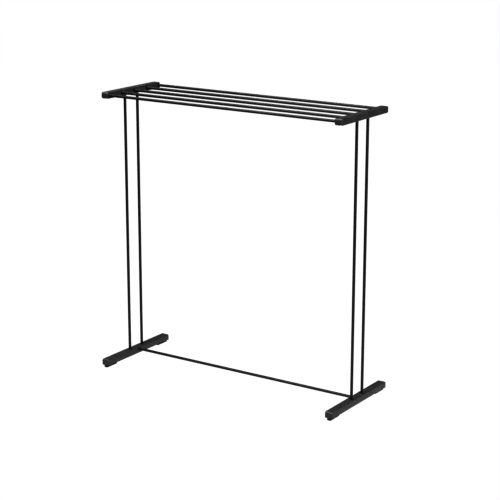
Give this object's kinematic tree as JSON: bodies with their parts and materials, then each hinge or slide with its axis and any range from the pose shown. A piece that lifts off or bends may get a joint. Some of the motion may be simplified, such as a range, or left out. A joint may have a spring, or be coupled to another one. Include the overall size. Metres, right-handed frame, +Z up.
{
  "type": "free-standing clothes drying rack",
  "caption": "Free-standing drying rack: parallel hanging rails between two moulded deck bars, on slim paired uprights, padded foot bars and a low stretcher.",
  "frame": {"origin": "on the floor, under the middle of the rack", "axes": "+X along the rails, +Y to the rear, +Z up"},
  "size_m": [1.0014, 0.377, 1.0338],
  "materials": {
    "tube_paint": "black satin powder coat on thin steel tube",
    "bar_plastic": "charcoal black moulded plastic with a fine matt grain",
    "pad_rubber": "black soft rubber, matt",
    "plug_plastic": "black nylon",
    "plated_steel": "zinc-plated steel"
  },
  "bodies": {
    "root": {"deck_carrier_left": "bar_plastic", "deck_carrier_right": "bar_plastic", "deck_cover_left": "bar_plastic", "deck_cover_right": "bar_plastic", "foot_bar_left": "bar_plastic", "foot_bar_right": "bar_plastic", "foot_pad_left_front": "pad_rubber", "foot_pad_left_rear": "pad_rubber", "foot_pad_right_front": "pad_rubber", "foot_pad_right_rear": "pad_rubber", "hanging_rail_1": "tube_paint", "hanging_rail_2": "tube_paint", "hanging_rail_3": "tube_paint", "hanging_rail_4": "tube_paint", "hanging_rail_5": "tube_paint", "rail_inserts_left": "plated_steel", "rail_inserts_right": "plated_steel", "rail_screws_left": "plated_steel", "rail_screws_right": "plated_steel", "stretcher": "tube_paint", "stretcher_plug_left": "plug_plastic", "stretcher_plug_right": "plug_plastic", "stretcher_screw_left": "plated_steel", "stretcher_screw_right": "plated_steel", "upright_deck_screws_left": "plated_steel", "upright_deck_screws_right": "plated_steel", "upright_foot_screws_left": "plated_steel", "upright_foot_screws_right": "plated_steel", "upright_inserts_left": "plated_steel", "upright_inserts_right": "plated_steel", "upright_left_front": "tube_paint", "upright_left_rear": "tube_paint", "upright_right_front": "tube_paint", "upright_right_rear": "tube_paint"}
  },
  "joints": []
}
